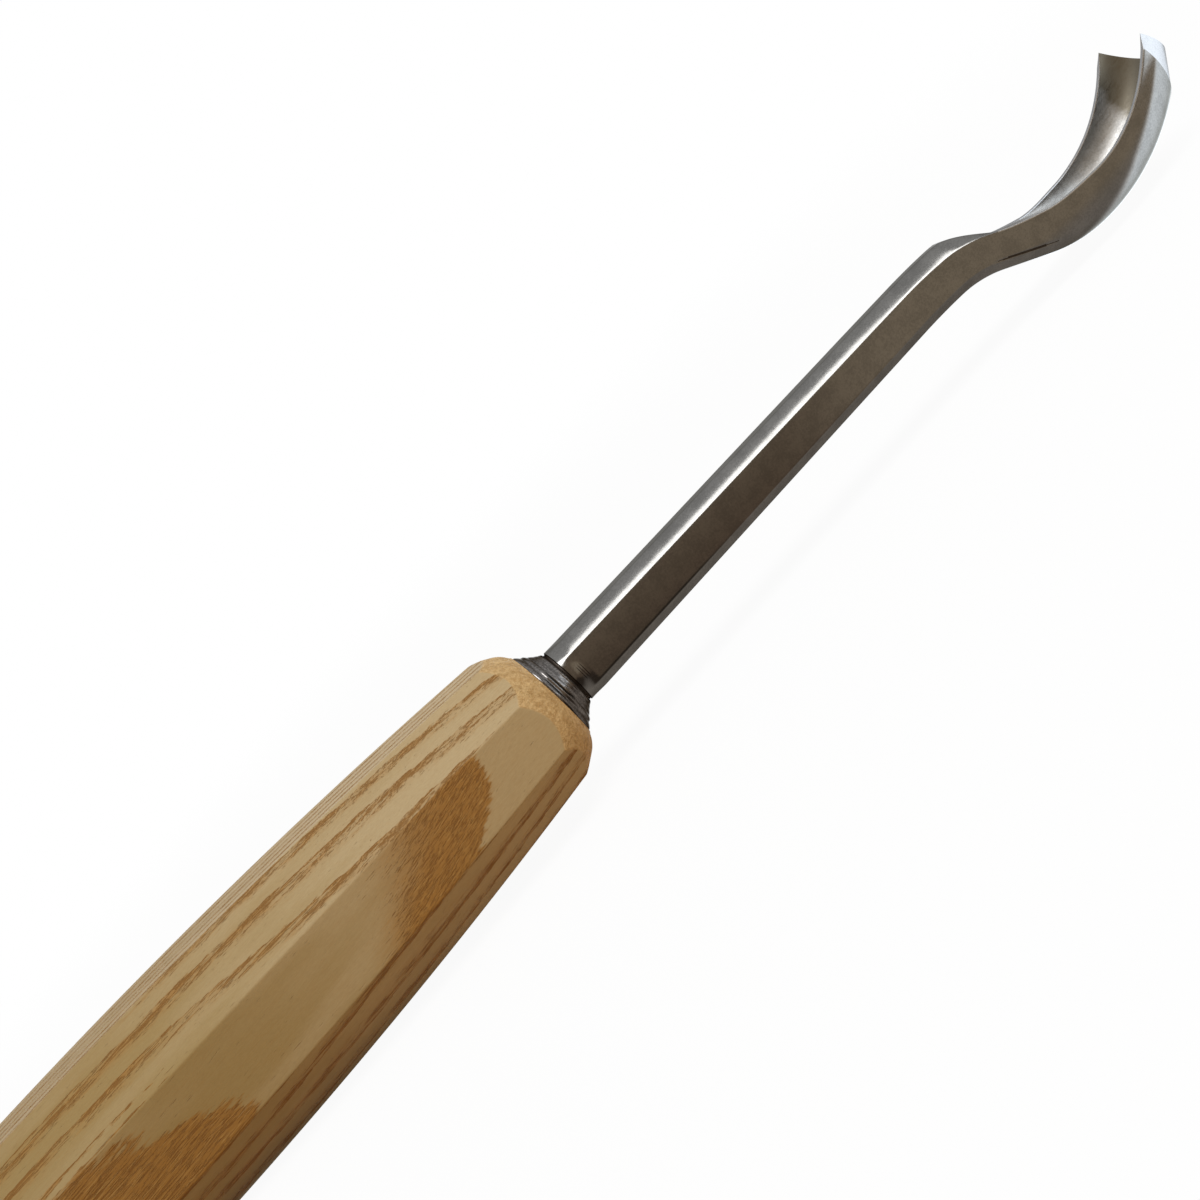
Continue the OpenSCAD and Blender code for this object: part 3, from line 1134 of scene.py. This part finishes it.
@dataclass(frozen=True)
class AshFinish:
    """Planed ash: pale late wood, brown porous wood where each year starts, and dark open pores."""

    pale: Triple = (190, 167, 125)
    # Colour toward the butt, where the wood is darker
    rear_tone: Triple = (168, 142, 92)
    porous: Triple = (166, 118, 54)
    torn: Triple = (190, 150, 88)
    pore: Triple = (122, 80, 32)
    end_grain: Triple = (217, 183, 129)
    end_pore: Triple = (187, 149, 95)
    # Where the years start, in millimetres toward the right-hand flat; they are narrower toward the heart
    year_start: float = 7.94
    outer_year: float = 2.66
    inner_year: float = 2.1
    porous_share: float = 0.42
    # The outermost year, which only the side flat touches, and the years that bulge out along the handle
    outermost: tuple[float, float] = (12.2, 13.0)
    bulging: tuple[float, float] = (8.6, 10.2)
    # Rise of the fibres toward the front for each millimetre, and the extra climb over the last part
    climb: float = 0.045
    front_climb: tuple[float, float, float, float] = (96.0, 124.0, 0.0, 2.6)
    # Clouds to a millimetre along and across the tool
    fibre_scale: Triple = (0.2, 7.0, 7.0)
    long_pore_scale: Triple = (0.22, 6.0, 6.0)
    short_pore_scale: Triple = (0.5, 9.0, 9.0)
    fleck_scale: Triple = (1.2, 5.0, 5.0)
    torn_scale: Triple = (0.28, 2.0, 2.0)
    patch_scale: Triple = (0.12, 1.6, 1.6)
    drift_scale: Triple = (0.03, 0.1, 0.1)
    tone_scale: Triple = (0.03, 0.2, 0.2)
    weave_scale: Triple = (0.05, 0.15, 0.15)
    # How far the rings bulge out along the handle, as pairs of x and bulge in millimetres
    bulge: tuple[tuple[float, float], ...] = (
        (0.0, 0.0),
        (30.0, -0.3),
        (60.0, -0.5),
        (72.0, -0.2),
        (80.0, 0.2),
        (97.0, 0.7),
        (104.0, 0.6),
        (113.0, 0.2),
        (119.0, 0.0),
        (132.0, -0.2),
    )
    # How the rings lean over the height, as pairs of z and shift in millimetres
    lean: tuple[tuple[float, float], ...] = (
        (-13.0, -0.46),
        (-9.0, -0.34),
        (-6.0, -0.24),
        (-3.4, -0.12),
        (-1.3, 0.02),
        (0.4, 0.13),
        (2.3, 0.18),
        (4.3, 0.2),
        (6.0, 0.29),
        (9.0, 0.45),
        (13.0, 0.65),
    )
    # The same in the outermost year
    flat_lean: tuple[tuple[float, float], ...] = (
        (-13.0, 0.15),
        (-4.5, 0.148),
        (-2.9, 0.13),
        (-1.5, 0.099),
        (-0.3, 0.048),
        (1.1, -0.024),
        (1.7, -0.06),
        (3.5, -0.09),
        (5.4, -0.1),
        (13.0, -0.13),
    )

    def material(self) -> bpy.types.Material:
        """Makes the material.

        Returns:
            The material, in the row frame's coordinates.
        """
        made, bench = NodeBench.new_material("ash_open_grain")
        point = bench.place_mm()
        porous, rows = self.porous_wood(bench, point)
        fibre_way = self.along_fibre(bench, point)
        pores = self.pores(bench, fibre_way, porous, rows)
        fibre = bench.grain(fibre_way, self.fibre_scale, 3.0, 0.6)
        cut_end = bench.facing(0).ramp(0.2, 0.42)
        shade = self.colours(bench, point, porous, pores, fibre, cut_end)
        crumbs = bench.grain(point, 2.4, 4.0, 0.7) * cut_end
        relief = fibre * 0.3 - pores + crumbs * 5.0
        bump = bench.add("Bump", Strength=0.6, Distance=0.1 * MM, Height=relief)
        rough = pores.ramp(0.0, 1.0, 0.5, 0.75)
        wood = bench.add("BsdfPrincipled", Base_Color=shade, Roughness=rough, Normal=bump.outputs[0])
        wood.inputs["Specular IOR Level"].default_value = 0.22
        bench.add("OutputMaterial", in0=wood.outputs[0])
        return made

    def along_fibre(self, bench: NodeBench, point: bpy.types.NodeSocket) -> bpy.types.NodeSocket:
        """Follows the fibres, which climb a little toward the front and weave slowly.

        Args:
            bench: The material's nodes.
            point: Place in millimetres.

        Returns:
            Place in the wood with the fibres laid straight.
        """
        weave = bench.grain(point, self.weave_scale, 1.0)
        x, y, z = bench.parts(point)
        height = z - x * self.climb - x.ramp(*self.front_climb) + (weave - 0.5) * 1.6
        return bench.add("CombineXYZ", in0=x, in1=y, in2=height).outputs[0]

    def porous_wood(self, bench: NodeBench, point: bpy.types.NodeSocket) -> tuple[Field, Field]:
        """Finds the porous wood, which starts sharply with each year and fades outward.

        Args:
            bench: The material's nodes.
            point: Place in millimetres.

        Returns:
            The share of porous wood, and the share of crowded pores in its rows on the slanted flats.
        """
        x, y, z = bench.parts(point)
        outward = y * -1.0
        outermost = outward.ramp(*self.outermost)
        lean = bench.mix(outermost, bench.curve(z, self.lean), bench.curve(z, self.flat_lean))
        bulging = outward.ramp(*self.bulging) * (1.0 - outermost)
        ring = outward + lean - bench.curve(x, self.bulge) * bulging
        # The side flats cut the rings in smooth ovals, and the slanted flats in ragged rows
        slanted = bench.facing(1).ramp(0.78, 0.92, 1.0, 0.0)
        drift = (bench.grain(point, self.drift_scale, 1.0) - 0.5) * 0.25
        tear = (bench.grain(point, self.torn_scale, 3.0, 0.65) - 0.5) * (slanted * 0.6 + 0.2)
        since = ring + drift + tear + slanted * 0.25 - self.year_start
        years = since.at_least(0.0) / self.outer_year + since.at_most(0.0) / self.inner_year
        year = years.fraction()
        start = year.ramp(0.0, 0.03)
        porous = start * year.ramp(slanted * 0.12, slanted * 0.26 + self.porous_share, 1.0, 0.0)
        patches = bench.grain(point, self.patch_scale, 3.0).ramp(0.36, 0.58, 0.28, 0.6)
        rows = start * year.ramp(0.3, 0.55, 1.0, 0.0) * slanted
        return porous * bench.mix(slanted, 1.0, patches), rows

    def pores(self, bench: NodeBench, fibre_way: bpy.types.NodeSocket, porous: Field, rows: Field) -> Field:
        """Open pores: fine dashes along the fibres, crowded in the porous wood and rare outside it.

        Args:
            bench: The material's nodes.
            fibre_way: Place along the fibres in millimetres.
            porous: Share of porous wood.
            rows: Share of crowded pores.

        Returns:
            Share of open pore.
        """
        scarce = porous.ramp(0.0, 0.7, 0.15, 0.0) - rows * 0.07
        long_ones = bench.grain(fibre_way, self.long_pore_scale, 2.0, 0.6)
        short_ones = bench.grain(fibre_way, self.short_pore_scale, 2.0, 0.6)
        return (long_ones.at_least(short_ones - 0.02) - scarce).ramp(0.55, 0.61)

    def colours(
        self,
        bench: NodeBench,
        point: bpy.types.NodeSocket,
        porous: Field,
        pores: Field,
        fibre: Field,
        cut_end: Field,
    ) -> bpy.types.NodeSocket:
        """Colour of the wood.

        Args:
            bench: The material's nodes.
            point: Place in millimetres.
            porous: Share of porous wood.
            pores: Share of open pore.
            fibre: Fine lengthwise noise.
            cut_end: Share of end grain.

        Returns:
            The colour socket.
        """
        tone = bench.grain(point, self.tone_scale, 2.0).ramp(0.35, 0.65, -0.2, 0.2)
        # The wood turns darker toward the butt, with some random tone
        rearward = bench.parts(point)[0].ramp(125.0, 55.0, 0.0, 0.8) + tone
        fleck = bench.grain(point, self.fleck_scale, 3.0, 0.7)
        crumb = bench.grain(point, 1.7, 5.0, 0.75)
        shade = bench.blend_colour(rearward.ramp(0.0, 1.0), self.pale, self.rear_tone)
        shade = bench.blend_colour(fibre.ramp(0.4, 0.75, 0.0, 0.16), shade, self.porous)
        shade = bench.blend_colour(porous.ramp(0.0, 0.8, 0.0, 0.92), shade, self.porous)
        shade = bench.blend_colour(fleck.ramp(0.42, 0.6, 0.07, 0.0), shade, self.pore)
        shade = bench.blend_colour(fibre.ramp(0.54, 0.66, 0.0, 0.75) * porous, shade, self.torn)
        shade = bench.blend_colour(pores * 0.58, shade, self.pore)
        cut = bench.blend_colour(crumb.ramp(0.36, 0.62), self.end_pore, self.end_grain)
        return bench.blend_colour(cut_end * 0.95, shade, cut)


@dataclass(frozen=True)
class SteelFinish:
    """A finish of the tool steel, with heights in millimetres and clouds to a millimetre."""

    name: str
    tint: Triple
    edge_tint: Triple
    roughness: float
    ripple: float
    scratch: float
    scratch_scale: Triple
    mottle: float = 0.08
    cloud_scale: Triple = (0.35, 0.35, 0.35)
    strokes: tuple[float, ...] = ()
    stroke_tint: Triple = (22, 19, 17)
    # Painted reflection: the brown that the channel turns to toward the cutting edge, and the x in
    # millimetres where it sets in
    painted_reflection: Triple = (0, 0, 0)
    painted_reflection_from: float = 0.0

    def filed(self, bench: NodeBench, point: bpy.types.NodeSocket) -> Field:
        """Short dark file strokes on the near side of the neck.

        Args:
            bench: The material's nodes.
            point: Place in millimetres.

        Returns:
            Share of stroke from 0 to 1.
        """
        x, y, z = bench.parts(point)
        on_side = abs(z + 0.25).ramp(0.7, 1.3, 1.0, 0.0) * y.ramp(-1.0, 0.0, 1.0, 0.0)
        marks = [abs(x - at).ramp(0.02, 0.09, 1.0, 0.0) for at in self.strokes]
        share = marks[0]
        for mark in marks[1:]:
            share = share.at_least(mark)
        return share * on_side

    def material(self) -> bpy.types.Material:
        """Makes the material.

        Returns:
            The material, in the row frame's coordinates.
        """
        made, bench = NodeBench.new_material(self.name)
        point = bench.place_mm()
        ripple = bench.grain(point, (0.2, 0.4, 0.4), 2.0)
        scratch = bench.grain(point, self.scratch_scale, 3.0, 0.65)
        grit = bench.grain(point, 4.0, 2.0, 0.6)
        cloud = bench.grain(point, self.cloud_scale, 3.0, 0.6)
        light = tuple(min(255.0, (1 + self.mottle) * v) for v in self.tint)
        dark = tuple((1 - self.mottle) * v for v in self.tint)
        shade = bench.blend_colour((grit * 0.5 + cloud * 0.5).ramp(0.38, 0.62), dark, light)
        if self.strokes:
            shade = bench.blend_colour(self.filed(bench, point) * 0.9, shade, self.stroke_tint)
        # Painted reflection: toward the cutting edge the colour turns brown
        if self.painted_reflection_from:
            forward = (cloud - 0.5) * 5.0 + bench.parts(point)[0]
            reflection_share = forward.ramp(self.painted_reflection_from - 1.4, self.painted_reflection_from + 1.4)
            shade = bench.blend_colour(reflection_share, shade, self.painted_reflection)
        rough = scratch.ramp(0.25, 0.75, self.roughness * 0.85, self.roughness * 1.2)
        waves = bench.add("Bump", Strength=1.0, Distance=self.ripple * MM, Height=ripple).outputs[0]
        lines = bench.add("Bump", Strength=1.0, Distance=self.scratch * MM, Height=scratch, Normal=waves)
        steel = bench.add("BsdfPrincipled", Base_Color=shade, Roughness=rough, Normal=lines.outputs[0])
        steel.inputs["Metallic"].default_value = 1.0
        steel.inputs["Specular Tint"].default_value = colour(*self.edge_tint)
        bench.add("OutputMaterial", in0=steel.outputs[0])
        return made


BLADE_FINISHES = {
    SteelZone.FORGED: SteelFinish(
        name="steel_forged",
        tint=(109, 108, 106),
        edge_tint=(176, 175, 172),
        roughness=0.14,
        ripple=0.003,
        scratch=0.0003,
        scratch_scale=(1.2, 6.0, 6.0),
        mottle=0.06,
        strokes=(136.34, 136.67, 137.0),
    ),
    SteelZone.TURNED: SteelFinish(
        name="steel_turned",
        tint=(102, 99, 97),
        edge_tint=(150, 147, 143),
        roughness=0.15,
        ripple=0.003,
        scratch=0.002,
        scratch_scale=(9.0, 0.6, 0.6),
        mottle=0.2,
        cloud_scale=(3.4, 0.1, 0.1),
    ),
    SteelZone.GROUND: SteelFinish(
        name="steel_ground",
        tint=(146, 146, 147),
        edge_tint=(200, 200, 200),
        roughness=0.26,
        ripple=0.003,
        scratch=0.002,
        scratch_scale=(1.0, 7.0, 1.0),
        mottle=0.03,
    ),
    SteelZone.CHANNEL: SteelFinish(
        name="steel_channel",
        tint=(137, 136, 134),
        edge_tint=(190, 189, 186),
        roughness=0.37,
        ripple=0.006,
        scratch=0.003,
        scratch_scale=(0.35, 3.0, 3.0),
        mottle=0.06,
        # Painted brown reflection toward the cutting edge
        painted_reflection=(90, 85, 75),
        painted_reflection_from=246.0,
    ),
    # Painted shade: dark steel in the crease and in the bolster's groove
    SteelZone.CREASE: SteelFinish(
        name="steel_painted_shade",
        tint=(60, 54, 49),
        edge_tint=(80, 74, 68),
        roughness=0.45,
        ripple=0.003,
        scratch=0.002,
        scratch_scale=(1.2, 6.0, 6.0),
    ),
}
RING_FINISH = SteelFinish(
    name="steel_ring",
    tint=(150, 150, 150),
    edge_tint=(150, 150, 150),
    roughness=0.35,
    ripple=0.004,
    scratch=0.003,
    scratch_scale=(6.0, 1.0, 1.0),
)


@dataclass
class Studio:
    """Pale floor, soft lamp, bent card and the camera of the photograph, in metres."""

    eye: Triple = (0.11568, -0.24049, 0.05345)
    aim: Triple = (0.145172, 0.000029, 0.003731)
    roll_deg: float = -45.75
    lens_mm: float = 57.0
    sensor_mm: float = 36.0
    floor_z: float = -0.0134
    floor_side: float = 6.0
    floor_tone: Triple = (201, 170, 127)
    floor_glow: float = 0.94
    sky_tone: Triple = (255, 252, 247)
    sky_light: float = 0.36
    lamp_place: Triple = (0.4, -0.277, 0.534)
    lamp_size: tuple[float, float] = (0.56, 0.23)
    lamp_radiance: float = 7.0
    card_y: float = -0.045
    card_h: float = 0.07
    # The card's colours are painted reflections in the steel: brown surroundings, paler toward the tip,
    # painted shade in the fold, the floor's painted shadow under the tool, and a painted highlight that
    # glows past the tip
    card_dark: Triple = (158, 136, 115)
    card_fold_shade: Triple = (92, 80, 70)
    card_light: Triple = (223, 203, 176)
    card_under_shadow: Triple = (208, 198, 188)
    card_tip_highlight: Triple = (238.6, 247.0, 255.0)
    tip_highlight_glow: float = 3.5

    def camera(self) -> bpy.types.Object:
        """Makes the camera and sets it as the scene's.

        Returns:
            The camera.
        """
        data = bpy.data.cameras.new("photo_camera")
        data.lens, data.sensor_width = self.lens_mm, self.sensor_mm
        data.clip_start, data.clip_end = 0.01, 20.0
        made = bpy.data.objects.new("photo_camera", data)
        made.location = self.eye
        ahead = Vector(self.aim) - Vector(self.eye)
        made.rotation_mode = "QUATERNION"
        roll = Quaternion((0.0, 0.0, 1.0), math.radians(self.roll_deg))
        made.rotation_quaternion = ahead.to_track_quat("-Z", "Y") @ roll
        bpy.context.scene.collection.objects.link(made)
        bpy.context.scene.camera = made
        return made

    @staticmethod
    def seen_directly(bench: NodeBench) -> Field:
        """Tells rays that look at a thing from light that falls on others.

        Args:
            bench: The nodes of a material or world.

        Returns:
            1 for rays from the camera, mirrors and glass, and 0 for the rest.
        """
        path = bench.add("LightPath").outputs
        rays = [Field(bench, path[f"Is {kind} Ray"]) for kind in ("Camera", "Glossy", "Transmission")]
        return rays[0].at_least(rays[1]).at_least(rays[2])

    def world(self) -> None:
        """White to the eye, and a plain soft light on the object."""
        made = bpy.data.worlds.new("studio_world")
        bpy.context.scene.world = made
        made.use_nodes = True
        bench = NodeBench(made.node_tree)
        light = bench.add("Background", Color=colour(*self.sky_tone), Strength=self.sky_light)
        white = bench.add("Background", Color=(1.0, 1.0, 1.0, 1.0), Strength=1.0)
        both = bench.blend_shader(self.seen_directly(bench), light, white)
        bench.add("OutputWorld", in0=both.outputs[0])

    @staticmethod
    def set_piece(
        name: str, corners: list[Triple], faces: list[tuple[int, ...]], finish: bpy.types.Material
    ) -> bpy.types.Object:
        """Makes a plain piece of the set.

        Args:
            name: Name of the piece.
            corners: Its points.
            faces: Point numbers of each face.
            finish: Its material.

        Returns:
            The piece, linked to the scene.
        """
        mesh = bpy.data.meshes.new(name)
        mesh.from_pydata(corners, [], faces)
        mesh.materials.append(finish)
        made = bpy.data.objects.new(name, mesh)
        bpy.context.scene.collection.objects.link(made)
        return made

    def floor(self) -> bpy.types.Object:
        """Makes the floor, which is white to the eye and keeps a soft shadow.

        Returns:
            The floor.
        """
        finish, bench = NodeBench.new_material("floor_pale")
        pale = bench.add("BsdfDiffuse", Color=colour(*self.floor_tone))
        white = bench.add("BsdfDiffuse", Color=(0.95, 0.95, 0.95, 1.0))
        glow = bench.add("Emission", Color=(1.0, 1.0, 1.0, 1.0), Strength=1.0)
        length = bench.add("VectorMath", {"operation": "LENGTH"}, in0=bench.place()).outputs["Value"]
        share = Field(bench, length).ramp(0.12, 0.34, self.floor_glow, 1.0)
        seen = bench.blend_shader(share, white, glow)
        both = bench.blend_shader(self.seen_directly(bench), pale, seen)
        bench.add("OutputMaterial", in0=both.outputs[0])
        h = self.floor_side / 2
        corners = [(-h, -h, 0.0), (h, -h, 0.0), (h, h, 0.0), (-h, h, 0.0)]
        made = self.set_piece("floor", corners, [(0, 1, 2, 3)], finish)
        made.location = (0.13, 0.0, self.floor_z)
        return made

    def lamp(self) -> bpy.types.Object:
        """Makes the long soft lamp on the camera's side, which faces straight across at the tool.

        Returns:
            The lamp.
        """
        data = bpy.data.lights.new("key_lamp", "AREA")
        width, height = self.lamp_size
        data.shape, data.size, data.size_y = "RECTANGLE", width, height
        data.energy = self.lamp_radiance * math.pi * width * height
        made = bpy.data.objects.new("key_lamp", data)
        made.location = self.lamp_place
        made.rotation_mode = "QUATERNION"
        across = Vector((0.0, -self.lamp_place[1], -self.lamp_place[2]))
        made.rotation_quaternion = across.to_track_quat("-Z", "Y")
        bpy.context.scene.collection.objects.link(made)
        return made

    def card_finish(self) -> bpy.types.Material:
        """Makes the card's glow, a painted reflection in the steel: brown, with painted shade in its fold,
        paler toward the tip, with the floor's painted shadow under the tool, and glowing past the tip as a
        painted highlight.

        Returns:
            The material.
        """
        finish, bench = NodeBench.new_material("reflection_card_glow")
        x, y, z = bench.parts(bench.place())
        # Painted reflections: paler toward the tip, painted shade in the fold, the floor's painted shadow
        # under the tool, and a glowing painted highlight past the tip
        toward_tip = x.ramp(0.178, 0.212).at_least(z.ramp(-0.0115, -0.007, 0.0, 0.3))
        fold_shade_share = y.ramp(-0.0449, -0.04) * x.ramp(0.158, 0.17, 1.0, 0.0)
        aslant = x * 0.452 + y * 0.892
        tip_highlight_share = aslant.ramp(0.1008, 0.1045).at_least(x.ramp(0.267, 0.275))
        shade = bench.blend_colour(toward_tip, self.card_dark, self.card_light)
        shade = bench.blend_colour(fold_shade_share, shade, self.card_fold_shade)
        shade = bench.blend_colour(y.ramp(-0.016, -0.004), shade, self.card_under_shadow)
        shade = bench.blend_colour(tip_highlight_share, shade, self.card_tip_highlight)
        glow = bench.add("Emission", Color=shade, Strength=tip_highlight_share.ramp(0.0, 1.0, 1.0, self.tip_highlight_glow))
        bench.add("OutputMaterial", in0=glow.outputs[0])
        return finish

    def card(self) -> bpy.types.Object:
        """Makes the bent card beside and under the tool, which only the polished steel shows, as painted
        reflections.

        Returns:
            The card.
        """
        low = self.floor_z + 0.0004
        rows = ((0.012, low), (self.card_y, low), (self.card_y, self.floor_z + self.card_h))
        corners = [(x, y, z) for y, z in rows for x in (-0.2, 0.6)]
        made = self.set_piece("near_card", corners, [(0, 1, 3, 2), (2, 3, 5, 4)], self.card_finish())
        made.visible_camera = False
        made.visible_diffuse = False
        made.visible_shadow = False
        made.visible_transmission = False
        return made

    def build(self) -> None:
        """Makes the whole set."""
        self.camera()
        self.world()
        self.floor()
        self.card()
        self.lamp()
        bpy.context.scene.view_settings.view_transform = "Standard"


@dataclass
class Gouge:
    """The whole tool: blade and handle stand for their CAD nodes, and the ring in the end grain stays."""

    blade: Blade
    handle: Handle
    ash: AshFinish

    def build_blade(self) -> None:
        """Builds and dresses the blade."""
        made = self.blade.build()
        for zone in SteelZone:
            made.data.materials.append(BLADE_FINISHES[zone].material())
        self.seat(made, "blade", "steel")

    def build_handle(self) -> None:
        """Builds and dresses the handle."""
        made = self.handle.build()
        made.data.materials.append(self.ash.material())
        self.seat(made, "handle", "ash")

    def dress_ring(self) -> None:
        """Gives the inner ferrule its steel."""
        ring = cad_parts["inner_ferrule"]
        ring.data.materials.clear()
        ring.data.materials.append(RING_FINISH.material())
        log.info("inner_ferrule keeps its CAD shape")

    @staticmethod
    def seat(piece: bpy.types.Object, node: str, slot: str) -> None:
        """Puts a piece on the body in place of its CAD node.

        Args:
            piece: The new object.
            node: CAD node that it stands for.
            slot: Material slot of the record; not used.
        """
        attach(piece, BODY)
        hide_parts(node)
        log.info("%s: %d vertices, stands for %s", piece.name, len(piece.data.vertices), node)


def main() -> None:
    """Builds the set and the tool, in order."""
    logging.basicConfig(level=logging.INFO, format="%(name)s: %(message)s")
    Studio().build()
    tool = Gouge(Blade(), Handle(), AshFinish())
    tool.build_blade()
    tool.build_handle()
    tool.dress_ring()


if __name__ == "__main__":
    main()
